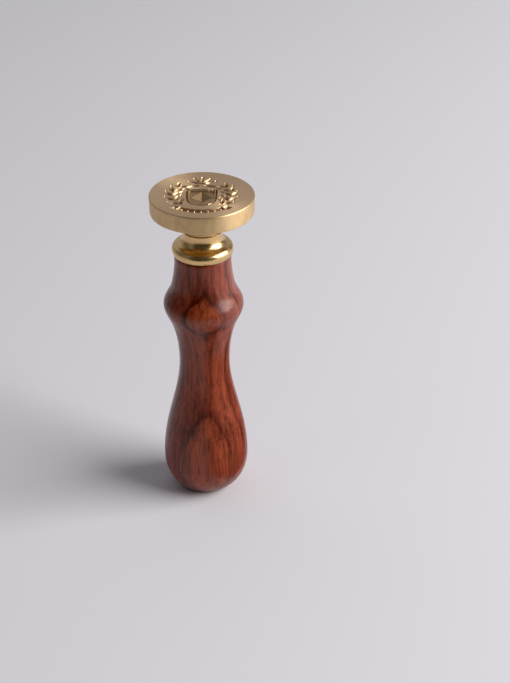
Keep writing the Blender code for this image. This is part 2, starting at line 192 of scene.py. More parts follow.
# Brass and steel. A pair of colors is the two that a finish is mottled between.
FACE_BRASS = ((0.66, 0.46, 0.275), (0.90, 0.64, 0.40))
# Painted shade: the brass in the cuts darkens with depth towards this color, standing in for the shade
# that falls in them.
CUT_SHADE_BRASS = (0.30, 0.195, 0.105)
CUT_SHADE_STRENGTH = 0.85
CUT_FROM = 0.04
CUT_FULL = 0.5
FACE_ANISOTROPY = 0.7
SIDE_BRASS = ((0.64, 0.45, 0.23), (0.88, 0.65, 0.37))
SIDE_TONING = (0.56, 0.34, 0.15)
SIDE_ANISOTROPY = 0.45
TURNING_ROTATION = 0.25
# Painted shade: the underside and boss get darker brass than the side, darkening further to near black
# towards the disc's edge.
UNDER_SHADE_BRASS = ((0.43, 0.285, 0.135), (0.61, 0.425, 0.21))
UNDER_EDGE_SHADE = (0.15, 0.09, 0.05)
EDGE_SHADE_FROM = 7.5
EDGE_SHADE_FULL = 10.5
COLLAR_BRASS = ((0.70, 0.46, 0.21), (0.80, 0.56, 0.28))
STUD_ZINC = ((0.50, 0.50, 0.48), (0.68, 0.68, 0.66))

# Wood: the growth rings, each with its colors from its inner side to its outer one, and the waves
# that bend them as (stretch along the grain, scale, height)
PITH = (0.8, 52.0)
FRONT_RING = 59.8
RING_SPACING = 4.4
RING_RIDGE = 0.16
RING_WAVES = ((0.5, 0.11, 3.0), (0.35, 0.5, 0.9), (0.06, 2.2, 0.5))
RING_COLORS = (
    (0.00, (0.085, 0.018, 0.010)),
    (0.08, (0.235, 0.047, 0.021)),
    (0.30, (0.292, 0.059, 0.024)),
    (0.76, (0.220, 0.043, 0.020)),
    (0.89, (0.137, 0.027, 0.014)),
    (0.96, (0.050, 0.012, 0.008)),
)
PLAIN_WOOD = (0.220, 0.044, 0.022)
PLAIN_FROM = 4.0
PLAIN_FULL = 8.5
PORE_COLOR = (0.020, 0.006, 0.005)
PORE_DARKNESS = 0.6
STREAK_SHIFT = 4.0

# Camera, light and floor
CAMERA_PLACE = (0.0125, -0.3604, 0.2564)
CAMERA_PITCH = math.radians(59.2)
CAMERA_LENS = 89.6
SENSOR_WIDTH = 36.0
KEY_AZIMUTH = math.radians(81)
KEY_ELEVATION = math.radians(32)
KEY_DISTANCE = 1.2
KEY_WIDTH = 1.0
KEY_HEIGHT = 0.9
KEY_POWER = 19.5
KEY_COLOR = (1.0, 0.985, 0.96)
FLOOR_SIZE = 6.0
FLOOR_COLORS = ((0.785, 0.775, 0.825), (0.80, 0.79, 0.84))
BLACK_LEVEL = 0.008

# The room as the brass mirrors it: azimuth from the viewer's side, positive to the right, and
# how bright the wall is there
ROOM = (
    (-180, 0.44), (-130, 0.44), (-112, 0.20), (-82, 0.12), (-74, 0.22), (-54, 0.22),
    (-46, 0.07), (44, 0.07), (52, 0.15), (130, 0.12), (155, 0.40), (180, 0.44),
)
CEILING = 0.30
CEILING_FROM = math.sin(math.radians(62))
CEILING_FULL = math.sin(math.radians(76))
ROOM_TINT = (0.98, 0.97, 1.0)

# Cards that only gloss sees: the two ends on the floor, height and color
BLACK_CARD = ((-230, -220), (230, -220), 70, (0.05, 0.05, 0.05))
RED_CARD = ((3, -24), (39, 50), 34, (0.12, 0.012, 0.015))
CARD_ROUGHNESS = 0.9


# ---------------------------------------------------------------- meshes


def node_top(node):
    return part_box(node)[1].z / MM


def node_bottom(node):
    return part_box(node)[0].z / MM


def mesh_object(name, points, faces, material_of_face=None, materials=()):
    """An object from points in millimetres, shaded smooth except at sharp edges."""
    mesh = bpy.data.meshes.new(name)
    mesh.from_pydata((np.asarray(points) * MM).tolist(), [], [tuple(face) for face in faces])
    for material in materials:
        mesh.materials.append(material)
    if material_of_face is not None:
        mesh.polygons.foreach_set("material_index", material_of_face)
    mesh.shade_smooth()
    mesh.set_sharp_from_angle(angle=SHARP_ANGLE)
    mesh.update()
    obj = bpy.data.objects.new(name, mesh)
    bpy.context.scene.collection.objects.link(obj)
    return obj


def grid_faces(rows, segments, first=0, closed=False):
    """Quads between rows of points that each go once round the axis, listed top to bottom."""
    faces = []
    for i in range(rows if closed else rows - 1):
        upper = first + i * segments
        lower = first + (i + 1) % rows * segments
        for j in range(segments):
            k = (j + 1) % segments
            faces.append((upper + j, lower + j, lower + k, upper + k))
    return faces


def turned_points(radii, heights, segments, start=0.0):
    """Rows of points round the axis. Radii holds one value per row, or one per point."""
    angles = start + np.arange(segments) * math.tau / segments
    radii = np.asarray(radii, float)
    if radii.ndim == 1:
        radii = np.repeat(radii[:, None], segments, axis=1)
    heights = np.repeat(np.asarray(heights, float)[:, None], segments, axis=1)
    x = radii * np.cos(angles)
    y = radii * np.sin(angles)
    return np.stack([x, y, heights], axis=2).reshape(-1, 3)


def capped_turning(name, radii, heights, segments, material):
    """A turned solid whose first and last rows are closed at the axis."""
    points = turned_points(radii, heights, segments)
    rows = len(heights)
    top = len(points)
    points = np.vstack([points, [(0, 0, heights[0])], [(0, 0, heights[-1])]])
    faces = grid_faces(rows, segments)
    last = (rows - 1) * segments
    for j in range(segments):
        k = (j + 1) % segments
        faces.append((top, j, k))
        faces.append((top + 1, last + k, last + j))
    return mesh_object(name, points, faces, materials=[material])


def ring_turning(name, radii, heights, segments, material):
    """A turned solid whose outline is a closed loop clear of the axis."""
    points = turned_points(radii, heights, segments)
    faces = grid_faces(len(heights), segments, closed=True)
    return mesh_object(name, points, faces, materials=[material])


def outline_of(node, inside_radius):
    """A turned node's outer (radius, height) points, top down, one for each ring of its mesh."""
    places = np.array([v.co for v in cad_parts[node].data.vertices]) / MM
    radii = np.hypot(places[:, 0], places[:, 1])
    outer = np.flatnonzero(radii > inside_radius)
    order = outer[np.argsort(-places[outer, 2])]
    rings = []
    for i in order:
        height = places[i, 2]
        if rings and rings[-1][1] - height < SAME_RING:
            rings[-1][0] = max(rings[-1][0], radii[i])
        else:
            rings.append([radii[i], height])
    return np.array(rings)


def smooth_outline(rings, rows_per_span):
    """A finer outline through the same points, curved between them and sharp at real corners."""
    steps = np.diff(rings, axis=0)
    lengths = np.hypot(steps[:, 0], steps[:, 1])
    directions = steps / lengths[:, None]
    headings = np.arctan2(directions[:, 1], directions[:, 0])
    bends = np.abs((np.diff(headings) + math.pi) % math.tau - math.pi)
    before = directions.copy()
    after = directions.copy()
    for i in range(1, len(rings) - 1):
        if bends[i - 1] < CORNER_ANGLE:
            share = lengths[i - 1] / (lengths[i - 1] + lengths[i])
            tangent = directions[i - 1] * (1 - share) + directions[i] * share
            after[i - 1] = tangent
            before[i] = tangent
    points = [rings[0]]
    for i, length in enumerate(lengths):
        for step in range(1, rows_per_span + 1):
            t = step / rows_per_span
            points.append(
                (1 - 3 * t**2 + 2 * t**3) * rings[i]
                + (3 * t**2 - 2 * t**3) * rings[i + 1]
                + length * t * (1 - t) ** 2 * before[i]
                + length * t**2 * (t - 1) * after[i]
            )
    return np.array(points)


def thread_radii(heights, segments, thread, start, turns, clearance=0.0, first_angle=0.0):
    """Radii of a helical V rib, or of its groove when there is a clearance, for rows of points."""
    turn = (first_angle + np.arange(segments) * math.tau / segments) / math.tau
    rise = (np.asarray(heights)[:, None] - start) / thread.pitch
    wound = rise - turn[None, :]
    nearest = np.round(wound)
    off_crest = np.abs(wound - nearest) * thread.pitch
    drop = np.maximum(off_crest - CREST_FLAT * thread.pitch, 0.0) / thread.slope
    core = thread.core + clearance
    ribbed = np.maximum(thread.crest + clearance - drop, core)
    along = nearest + turn[None, :]
    fade = np.clip(np.minimum(along, turns - along) / FADE_TURNS, 0, 1)
    return core * (1 - fade) + ribbed * fade


def level_rows(outline, segments):
    """The radii of (radius, height) points, each repeated once round the axis."""
    return np.repeat([[point[0]] for point in outline], segments, axis=1)


def heights_of(outline):
    return [point[1] for point in outline]


# ---------------------------------------------------------------- engraving


def ease(distance, width):
    """0 outside an outline, rising smoothly to 1 a wall's width inside it."""
    t = np.clip(distance / width, 0, 1)
    return t * t * (3 - 2 * t)


def leaf_depth(x, y, center, heading, length, width):
    """A pointed leaf cut with a V tool, deepest along its middle and widest behind it."""
    along = (x - center[0]) * math.cos(heading) + (y - center[1]) * math.sin(heading)
    across = (y - center[1]) * math.cos(heading) - (x - center[0]) * math.sin(heading)
    share = np.clip(along / length, -1, 1)
    half = width * (1 - share**2) ** LEAF_FULLNESS * (1 - LEAF_TAPER * share)
    return CUT_SLOPE * np.maximum(half - np.abs(across), 0)


def pit_depth(x, y, center, radius):
    """A round pit, as a ball punch leaves."""
    squared = radius**2 - (x - center[0]) ** 2 - (y - center[1]) ** 2
    return np.sqrt(np.maximum(squared, 0))


def polar(radius, angle, side=1):
    """A point at an angle from +X, or from -X when the side is -1."""
    return (side * radius * math.cos(angle), radius * math.sin(angle))


def shield_inside(x, y):
    """How far a point is inside the shield's outline."""
    drop = np.clip((SHIELD_WAIST - y) / (SHIELD_WAIST - SHIELD_TIP), 0, 1)
    half = SHIELD_HALF_WIDTH * np.cos(np.arcsin(drop)) ** SHIELD_FULLNESS
    sides_and_top = np.minimum(half - np.abs(x), SHIELD_TOP - y)
    return np.minimum(sides_and_top, (y - SHIELD_TIP) * SHIELD_TIP_SLOPE)


def shield_depth(x, y):
    """A sunk border line, a standing rim, and a sunk field with a four-sided lozenge cut in it."""
    inside = shield_inside(x, y)
    line = ease(inside, WALL) * (1 - ease(inside - SHIELD_LINE, WALL))
    field = ease(inside - SHIELD_LINE - SHIELD_RIM, WALL)
    lozenge = 1 - np.abs(x) / LOZENGE_HALF_WIDTH - np.abs(y - LOZENGE_MIDDLE) / LOZENGE_HALF_HEIGHT
    span = LOZENGE_HALF_WIDTH * LOZENGE_HALF_HEIGHT / math.hypot(LOZENGE_HALF_WIDTH, LOZENGE_HALF_HEIGHT)
    facets = LOZENGE_SLOPE * span * np.maximum(lozenge, 0)
    return np.maximum(LINE_DEPTH * line, FIELD_DEPTH * field) + facets


def laurel_depth(x, y, side):
    """Paired leaves and berries on a stem that curves up one side of the shield."""
    depth = np.zeros_like(x)
    step = (LAUREL_LAST - LAUREL_FIRST) / (LAUREL_PAIRS - 1)
    for i in range(LAUREL_PAIRS):
        angle = LAUREL_FIRST + step * i
        for edge in (-1, 1):
            center = polar(LAUREL_RADIUS + edge * LEAF_OFFSET, angle, side)
            along = angle + math.pi / 2 - edge * LEAF_SPREAD
            heading = along if side > 0 else math.pi - along
            depth = np.maximum(depth, leaf_depth(x, y, center, heading, LEAF_LENGTH, LEAF_WIDTH))
        berry = polar(LAUREL_RADIUS + BERRY_OFFSET, angle - step / 2, side)
        depth = np.maximum(depth, pit_depth(x, y, berry, BERRY_RADIUS))
    radius = np.hypot(x, y)
    angle = np.arctan2(y, side * x)
    reach = np.minimum(angle - LAUREL_FIRST + STEM_FOOT, LAUREL_LAST - angle + STEM_TIP)
    reach = reach * LAUREL_RADIUS
    on_stem = np.minimum(STEM_HALF_WIDTH - np.abs(radius - LAUREL_RADIUS), reach)
    return np.maximum(depth, CUT_SLOPE * np.maximum(on_stem, 0))


def scroll_depth(x, y, side):
    """Small leaves between the shield and the laurel, curling outwards."""
    depth = np.zeros_like(x)
    step = (SCROLL_LAST - SCROLL_FIRST) / (SCROLL_COUNT - 1)
    for i in range(SCROLL_COUNT):
        angle = SCROLL_FIRST + step * i
        along = angle + math.pi / 2 + SCROLL_LEAN
        heading = along if side > 0 else math.pi - along
        center = polar(SCROLL_RADIUS, angle, side)
        depth = np.maximum(depth, leaf_depth(x, y, center, heading, SCROLL_LENGTH, SCROLL_WIDTH))
    return depth


def ribbon_depth(x, y):
    """A curved band with plain pellets standing in it, and a notched tail at each end."""
    radius = np.hypot(x, y)
    angle = np.arctan2(x, -y)
    spread = np.abs(angle)
    band = np.minimum(radius - RIBBON_INNER, RIBBON_OUTER - radius)
    band = np.minimum(band, (RIBBON_HALF_ANGLE - spread) * radius)
    depth = RIBBON_DEPTH * ease(band, WALL)
    middle = (RIBBON_INNER + RIBBON_OUTER) / 2
    for i in range(PELLET_COUNT):
        place = RIBBON_HALF_ANGLE * ((2 * i + 1) / PELLET_COUNT - 1)
        distance = np.hypot(x - middle * math.sin(place), y + middle * math.cos(place))
        depth = depth - PELLET_HEIGHT * ease(PELLET_RADIUS - distance, PELLET_WALL)
    shifted = radius - TAIL_SHIFT
    notch = NOTCH_SLOPE * np.clip(NOTCH_HALF_WIDTH - np.abs(shifted - middle), 0, 1)
    tail = np.minimum(shifted - RIBBON_INNER, RIBBON_OUTER - shifted)
    tail = np.minimum(tail, (spread - RIBBON_HALF_ANGLE - TAIL_GAP) * radius)
    tail = np.minimum(tail, (TAIL_HALF_ANGLE - spread) * radius - notch)
    return np.maximum(depth, CUT_SLOPE * np.clip(tail, 0, TAIL_WALL))


def coronet_depth(x, y):
    """A short bar with rays fanned over it, each ending in a pearl."""
    bar = np.minimum(CORONET_HALF_WIDTH - np.abs(x), y - CORONET_BASE)
    bar = np.minimum(bar, CORONET_BASE + CORONET_BAR - y)
    depth = CORONET_DEPTH * ease(bar, WALL)
    for i in range(CORONET_RAYS):
        angle = math.pi / 2 + CORONET_SPREAD * (i - (CORONET_RAYS - 1) / 2)
        across, up = polar(CORONET_RADIUS, angle)
        center = (across, CORONET_BASE + up)
        depth = np.maximum(depth, leaf_depth(x, y, center, angle, LEAF_LENGTH, RAY_WIDTH))
        across, up = polar(PEARL_DISTANCE, angle)
        pearl = (across, CORONET_BASE + up)
        depth = np.maximum(depth, pit_depth(x, y, pearl, PEARL_RADIUS))
    return depth


def swag_depth(x, y):
    """Two leaves that slope down from the middle, over the shield."""
    depth = np.zeros_like(x)
    for side in (1, -1):
        center = (side * SWAG_OFFSET, SWAG_HEIGHT)
        heading = -SWAG_TILT if side > 0 else math.pi + SWAG_TILT
        depth = np.maximum(depth, leaf_depth(x, y, center, heading, SWAG_LENGTH, SWAG_WIDTH))
    return depth


def engraving_depth(x, y):
    depth = np.maximum(shield_depth(x, y), ribbon_depth(x, y))
    depth = np.maximum(depth, coronet_depth(x, y))
    depth = np.maximum(depth, swag_depth(x, y))
    for side in (1, -1):
        depth = np.maximum(depth, laurel_depth(x, y, side))
        depth = np.maximum(depth, scroll_depth(x, y, side))
    return depth


# ---------------------------------------------------------------- pieces


def face_points(height):
    """A square grid laid over the round face with even cells, sunk by the engraving."""
    steps = np.linspace(-1, 1, FACE_GRID + 1)
    a, b = np.meshgrid(steps, steps, indexing="ij")
    across = np.abs(a) > np.abs(b)
    safe_a = np.where(a == 0, 1, a)
    safe_b = np.where(b == 0, 1, b)
    radius = np.where(across, a, b) * FACE_FIELD
    angle = np.where(across, math.pi / 4 * b / safe_a, math.pi / 2 - math.pi / 4 * a / safe_b)
    x = radius * np.cos(angle)
    y = radius * np.sin(angle)
    z = height - engraving_depth(x, y)
    return np.stack([x, y, z], axis=2).reshape(-1, 3)


def face_quads():
    side = FACE_GRID + 1
    quads = []
    for i in range(FACE_GRID):
        for j in range(FACE_GRID):
            corner = i * side + j
            quads.append((corner, corner + side, corner + side + 1, corner + 1))
    return quads


def face_rim():
    """The grid's border points in order round the axis, from the corner at -45 degrees."""
    side = FACE_GRID + 1
    right = [FACE_GRID * side + j for j in range(FACE_GRID)]
    top = [i * side + FACE_GRID for i in range(FACE_GRID, 0, -1)]
    left = [j for j in range(FACE_GRID, 0, -1)]
    bottom = [i * side for i in range(FACE_GRID)]
    return right + top + left + bottom


def arc_rows(center, radius, start, end, count):
    angles = np.linspace(start, end, count)
    return [(center[0] + radius * math.cos(a), center[1] + radius * math.sin(a)) for a in angles]


def die_rows(face, disc_radius, boss_bottom):
    """The die's (radius, height, finish) rows, from the edge of the engraving to its hole."""
    disc_bottom = face - DISC_HEIGHT
    lower = disc_radius - DISC_TAPER
    chamfer = (disc_radius - FACE_CHAMFER, face - FACE_CHAMFER)
    back = (lower - BACK_ROUNDING, disc_bottom + BACK_ROUNDING)
    fillet = (NECK_RADIUS + NECK_FILLET, disc_bottom - NECK_FILLET)
    margin = [(radius, face) for radius in (*MARGIN_RADII, chamfer[0] - MARGIN_LAST)]
    side = arc_rows(chamfer, FACE_CHAMFER, *CHAMFER_ARC, CHAMFER_ROWS)
    for t in np.linspace(0, 1, SIDE_ROWS):
        side.append((disc_radius - DISC_TAPER * t, face - SIDE_START - SIDE_HEIGHT * t))
    side += arc_rows(back, BACK_ROUNDING, 0, -math.pi / 2, BACK_ROWS)
    under = [(radius, disc_bottom) for radius in UNDER_RADII]
    under += arc_rows(fillet, -NECK_FILLET, -math.pi / 2, 0, FILLET_ROWS)
    under += [(NECK_RADIUS, boss_bottom + BOSS_ROW), (NECK_RADIUS, boss_bottom + EDGE_BREAK)]
    under += [(NECK_RADIUS - EDGE_BREAK, boss_bottom), (MOUTH_RADIUS, boss_bottom)]
    rows = []
    for finish, part in ((FACE, margin), (SIDE, side), (UNDER, under)):
        rows += [(radius, height, finish) for radius, height in part]
    return rows


def machine_thread_start():
    return node_top("handle") + MACHINE_LIFT


def wood_thread_start():
    return node_bottom("threaded_stud") + POINT_HEIGHT + WOOD_LEAD


def shank_bottom():
    return wood_thread_start() + (WOOD_TURNS + WOOD_RUNOUT) * WOOD.pitch


def die_faces(grid_size, rows, segments):
    """The engraved grid, the strip that joins it to the turned rows, those rows and the hole's end."""
    faces = face_quads()
    rim = face_rim()
    for j in range(segments):
        k = (j + 1) % segments
        faces.append((rim[j], grid_size + j, grid_size + k, rim[k]))
    faces += grid_faces(rows, segments, grid_size)
    hole_end = grid_size + rows * segments
    last = hole_end - segments
    for j in range(segments):
        faces.append((hole_end, last + (j + 1) % segments, last + j))
    return faces


def make_die(finishes):
    """The die as one closed skin: engraved face, rim, disc, boss and tapped blind hole."""
    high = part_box("seal_die")[1]
    face = high.z / MM
    boss_bottom = node_top("collar") + JOINT_GAP
    segments = 4 * FACE_GRID
    start = -math.pi / 4
    outline = die_rows(face, high.x / MM, boss_bottom)
    hole = boss_bottom + np.arange(MOUTH_DEPTH, TAPPED_DEPTH, TAPPED_STEP)
    threaded = thread_radii(
        hole, segments, MACHINE, machine_thread_start(), MACHINE_TURNS + 2, CLEARANCE, start
    )
    radii = np.vstack([level_rows(outline, segments), threaded])
    heights = np.concatenate([heights_of(outline), hole])
    grid = face_points(face)
    hole_end = [(0, 0, heights[-1])]
    points = np.vstack([grid, turned_points(radii, heights, segments, start), hole_end])
    faces = die_faces(len(grid), len(heights), segments)
    finish_of_face = [FACE] * (FACE_GRID**2 + segments)
    for _, _, finish in outline[1:]:
        finish_of_face += [finish] * segments
    finish_of_face += [UNDER] * (len(faces) - len(finish_of_face))
    return mesh_object("engraved_seal_die", points, faces, finish_of_face, finishes)


def make_collar(metal):
    """The collar's outside, closed by its plain bore."""
    outside = smooth_outline(outline_of("collar", COLLAR_INSIDE), COLLAR_ROWS_PER_SPAN)
    bore = [(COLLAR_BORE, node_bottom("collar")), (COLLAR_BORE, node_top("collar"))]
    outline = np.vstack([outside, bore])
    return ring_turning("polished_collar", outline[:, 0], outline[:, 1], COLLAR_SEGMENTS, metal)


def make_handle(wood):
    """The grip's outside, closed at the foot, with the stud's bore going down from the top."""
    outside = smooth_outline(outline_of("handle", HANDLE_INSIDE), HANDLE_ROWS_PER_SPAN)
    point = node_bottom("threaded_stud")
    shank_bore = MACHINE.core + SEAM
    bore = np.arange(point + POINT_HEIGHT, shank_bottom() - BORE_STOP, BORE_STEP)
    groove = thread_radii(
        bore, HANDLE_SEGMENTS, WOOD, wood_thread_start(), WOOD_TURNS + 1, CLEARANCE
    )
    tip = [(SEAM, point - SEAM)]
    above = [(shank_bore, shank_bottom() - SEAM), (shank_bore, node_top("handle")), *outside]
    radii = np.vstack([
        level_rows(tip, HANDLE_SEGMENTS), groove, level_rows(above, HANDLE_SEGMENTS),
    ])
    heights = np.concatenate([heights_of(tip), bore, heights_of(above)])
    return capped_turning("rosewood_handle", radii, heights, HANDLE_SEGMENTS, wood)


def make_stud(steel):
    """The stud: a chamfered machine thread, a plain shank, a coarse wood thread and a point."""
    top = [(MACHINE.core - STUD_CHAMFER, node_top("threaded_stud"))]
    shank = [(MACHINE.core, shank_bottom())]
    end = [(POINT_RADIUS, node_bottom("threaded_stud"))]
    start = machine_thread_start()
    upper = np.arange(top[0][1] - STUD_CHAMFER, start - PLAIN_SHANK, -MACHINE_STEP)
    lower = np.arange(shank[0][1] - SEAM, end[0][1] + POINT_HEIGHT, -WOOD_STEP)
    radii = np.vstack([
        level_rows(top, STUD_SEGMENTS),
        thread_radii(upper, STUD_SEGMENTS, MACHINE, start, MACHINE_TURNS),
        level_rows(shank, STUD_SEGMENTS),
        thread_radii(lower, STUD_SEGMENTS, WOOD, wood_thread_start(), WOOD_TURNS),
        level_rows(end, STUD_SEGMENTS),
    ])
    heights = np.concatenate([heights_of(top), upper, heights_of(shank), lower, heights_of(end)])
    return capped_turning("steel_stud", radii, heights, STUD_SEGMENTS, steel)


# ---------------------------------------------------------------- materials


def set_inputs(tree, node, inputs):
    """Gives each input its value, or links it when the value is another node's output."""
    for key, value in inputs.items():
        if isinstance(value, bpy.types.NodeSocket):
            tree.links.new(value, node.inputs[key])
        else:
            node.inputs[key].default_value = value


def add_node(tree, kind, inputs=None, **settings):
    node = tree.nodes.new(kind)
    for name, value in settings.items():
        setattr(node, name, value)
    set_inputs(tree, node, inputs or {})
    return node


def maths(tree, operation, a, b=0.0):
    return add_node(tree, "ShaderNodeMath", {0: a, 1: b}, operation=operation).outputs[0]


def vector_maths(tree, operation, a, b=(0, 0, 0)):
    return add_node(tree, "ShaderNodeVectorMath", {0: a, 1: b}, operation=operation)


def noise(tree, vector, scale, detail=2.0, roughness=0.5):
    inputs = {"Vector": vector, "Scale": scale, "Detail": detail, "Roughness": roughness}
    return add_node(tree, "ShaderNodeTexNoise", inputs).outputs[0]


def ramp(tree, factor, stops):
    """A color ramp with a (place, color) pair for each stop."""
    node = add_node(tree, "ShaderNodeValToRGB", {"Fac": factor})
    elements = node.color_ramp.elements
    while len(elements) < len(stops):
        elements.new(0.5)
    for element, (place, color) in zip(elements, stops):
        element.position = place
        element.color = (*color, 1.0)
    return node.outputs[0]


def map_range(tree, value, low, high, to_low=0.0, to_high=1.0):
    inputs = {0: value, 1: low, 2: high, 3: to_low, 4: to_high}
    return add_node(tree, "ShaderNodeMapRange", inputs).outputs[0]


def opaque(color):
    """A color with its alpha. Another node's output stays as it is."""
    return color if isinstance(color, bpy.types.NodeSocket) else (*color, 1)


def mix_color(tree, factor, a, b, blend="MIX"):
    inputs = {MIX_FACTOR: factor, MIX_A: opaque(a), MIX_B: opaque(b)}
    node = add_node(tree, "ShaderNodeMix", inputs, data_type="RGBA", blend_type=blend)
    return node.outputs[MIX_RESULT]


def bump(tree, height, strength, distance):
    inputs = {"Height": height, "Strength": strength, "Distance": distance}
    return add_node(tree, "ShaderNodeBump", inputs).outputs[0]


def new_material(name):
    material = bpy.data.materials.new(name)
    material.use_nodes = True
    tree = material.node_tree
    return material, tree, tree.nodes["Principled BSDF"]


def millimetres(tree, stretch=(1, 1, 1), shift=0.0):
    """Object coordinates in millimetres. A factor under 1 draws a pattern out along its axis."""
    coords = add_node(tree, "ShaderNodeTexCoord").outputs["Object"]
    factors = tuple(s / MM for s in stretch)
    squeezed = vector_maths(tree, "MULTIPLY", coords, factors).outputs[0]
    return vector_maths(tree, "ADD", squeezed, (shift, shift, 0)).outputs[0]


def distance_from_line(tree, place, line):
    """How far a place is from an upright line through the given x and y."""
    parts = add_node(tree, "ShaderNodeSeparateXYZ", {0: place}).outputs
    flat = add_node(tree, "ShaderNodeCombineXYZ", {0: parts["X"], 1: parts["Y"]}).outputs[0]
    offset = vector_maths(tree, "SUBTRACT", flat, (*line, 0)).outputs[0]
    return vector_maths(tree, "LENGTH", offset).outputs["Value"]


def turned_gloss(tree, strength):
    """Gloss that fine rings round the axis draw out across themselves."""
    tangent = add_node(tree, "ShaderNodeTangent", direction_type="RADIAL", axis="Z").outputs[0]
    return {
        "Anisotropic": strength,
        "Anisotropic Rotation": TURNING_ROTATION,
        "Tangent": tangent,
    }


def satin_face_brass():
    """Brass faced on a lathe, with fine rings round the middle, rougher in the cuts and darkened there
    by painted shade.
    """
    material, tree, shader = new_material("satin_brass_face")
    place = millimetres(tree)
    height = add_node(tree, "ShaderNodeSeparateXYZ", {0: place}).outputs["Z"]
    face = node_top("seal_die")
    sunk = map_range(tree, height, face - CUT_FROM, face - CUT_FULL)
    cloud = noise(tree, place, 0.3, 4.0, 0.6)
    grain = noise(tree, place, 9.0, 3.0, 0.7)
    bare = mix_color(tree, cloud, *FACE_BRASS)
    rough = map_range(tree, cloud, 0.3, 0.7, 0.38, 0.46)
    uncut = maths(tree, "SUBTRACT", 1.0, sunk)
    # The base color darkens with depth in the cuts: painted shade.
    set_inputs(tree, shader, {
        "Base Color": mix_color(tree, maths(tree, "MULTIPLY", sunk, CUT_SHADE_STRENGTH), bare, CUT_SHADE_BRASS),
        "Metallic": 1.0,
        "Roughness": maths(tree, "ADD", rough, maths(tree, "MULTIPLY", sunk, 0.12)),
        **turned_gloss(tree, maths(tree, "MULTIPLY", uncut, FACE_ANISOTROPY)),
        "Normal": bump(tree, grain, 0.3, 0.00002),
    })
    return material


def satin_side_brass():
    """Turned brass, toned brown in patches, with tool lines that smear highlights up and down."""
    material, tree, shader = new_material("satin_brass_side")
    lines = noise(tree, millimetres(tree, (0.02, 0.02, 1)), 7.0, 4.0, 0.75)
    cloud = noise(tree, millimetres(tree), 0.35, 3.0)
    toned = noise(tree, millimetres(tree, (1, 1, 0.6)), 0.5, 4.0, 0.65)
    bare = mix_color(tree, lines, *SIDE_BRASS)
    patches = map_range(tree, toned, 0.45, 0.72, 0, 0.6)
    set_inputs(tree, shader, {
        "Base Color": mix_color(tree, patches, bare, SIDE_TONING),
        "Metallic": 1.0,
        "Roughness": map_range(tree, cloud, 0.3, 0.7, 0.44, 0.50),
        **turned_gloss(tree, SIDE_ANISOTROPY),
        "Normal": bump(tree, lines, 0.4, 0.00003),
    })
    return material


def shaded_underside_brass():
    """The die's underside and boss in darker brass, darkest towards the disc's edge: painted shade."""
    material, tree, shader = new_material("shaded_underside_brass")
    place = millimetres(tree)
    cloud = noise(tree, place, 0.6, 4.0, 0.6)
    brown = mix_color(tree, cloud, *UNDER_SHADE_BRASS)
    # Painted shade, deepest towards the disc's edge.
    edge = map_range(tree, distance_from_line(tree, place, (0, 0)), EDGE_SHADE_FROM, EDGE_SHADE_FULL)
    set_inputs(tree, shader, {
        "Base Color": mix_color(tree, edge, brown, UNDER_EDGE_SHADE),
        "Metallic": 1.0,
        "Roughness": map_range(tree, cloud, 0.3, 0.7, 0.22, 0.32),
    })
    return material


def polished_brass():
    """Buffed brass: a near mirror with faint polishing lines round the axis."""
    material, tree, shader = new_material("polished_brass")
    lines = noise(tree, millimetres(tree, (0.05, 0.05, 1)), 5.0, 3.0, 0.7)
    smudge = noise(tree, millimetres(tree), 0.6, 4.0, 0.6)
    set_inputs(tree, shader, {
        "Base Color": mix_color(tree, smudge, *COLLAR_BRASS),
        "Metallic": 1.0,
        "Roughness": map_range(tree, smudge, 0.3, 0.7, 0.22, 0.29),
        "Normal": bump(tree, lines, 0.15, 0.00002),
    })
    return material


def zinc_steel():
    """Bright zinc plating, a little cloudy."""
    material, tree, shader = new_material("zinc_steel")
    cloud = noise(tree, millimetres(tree), 0.8, 4.0, 0.6)
    set_inputs(tree, shader, {
        "Base Color": mix_color(tree, cloud, *STUD_ZINC),
        "Metallic": 1.0,
        "Roughness": map_range(tree, cloud, 0.3, 0.7, 0.28, 0.42),
    })
    return material


def ring_phase(tree):
    """Growth rings, counted outwards from a pith far behind the handle, with natural waviness."""
    place = millimetres(tree)
    distance = distance_from_line(tree, place, PITH)
    across = add_node(tree, "ShaderNodeSeparateXYZ", {0: place}).outputs["X"]
    ridge = maths(tree, "ABSOLUTE", maths(tree, "SUBTRACT", across, PITH[0]))
    distance = maths(tree, "SUBTRACT", distance, maths(tree, "MULTIPLY", ridge, RING_RIDGE))
    for stretch, scale, height in RING_WAVES:
        wave = noise(tree, millimetres(tree, (1, 1, stretch)), scale, 2.0)
        wave = maths(tree, "MULTIPLY", maths(tree, "SUBTRACT", wave, 0.5), height)
        distance = maths(tree, "ADD", distance, wave)
    distance = maths(tree, "SUBTRACT", distance, FRONT_RING)
    return maths(tree, "FRACT", maths(tree, "DIVIDE", distance, RING_SPACING))


def ring_figure(tree):
    """The rings' colors, weaker in patches and towards the handle's two sides."""
    patch = noise(tree, millimetres(tree, (1, 1, 0.3)), 0.16, 2.0)
    across = add_node(tree, "ShaderNodeSeparateXYZ", {0: millimetres(tree)}).outputs["X"]
    side = map_range(tree, maths(tree, "ABSOLUTE", across), PLAIN_FROM, PLAIN_FULL, 0.0, 0.5)
    blend = maths(tree, "ADD", map_range(tree, patch, 0.35, 0.65, 0.0, 0.45), side)
    return mix_color(tree, blend, ramp(tree, ring_phase(tree), RING_COLORS), PLAIN_WOOD)


def wood_shade(tree, fibres):
    """Long dark streaks and fine fibres, as a grey to multiply the wood's color by."""
    streaks = noise(tree, millimetres(tree, (1, 1, 0.06), STREAK_SHIFT), 0.95, 3.0, 0.6)
    broad = map_range(tree, streaks, 0.30, 0.60, 0.46, 1.18)
    fine = map_range(tree, fibres, 0.30, 0.70, 0.78, 1.24)
    shade = maths(tree, "MULTIPLY", broad, fine)
    return add_node(tree, "ShaderNodeCombineColor", {0: shade, 1: shade, 2: shade}).outputs[0]


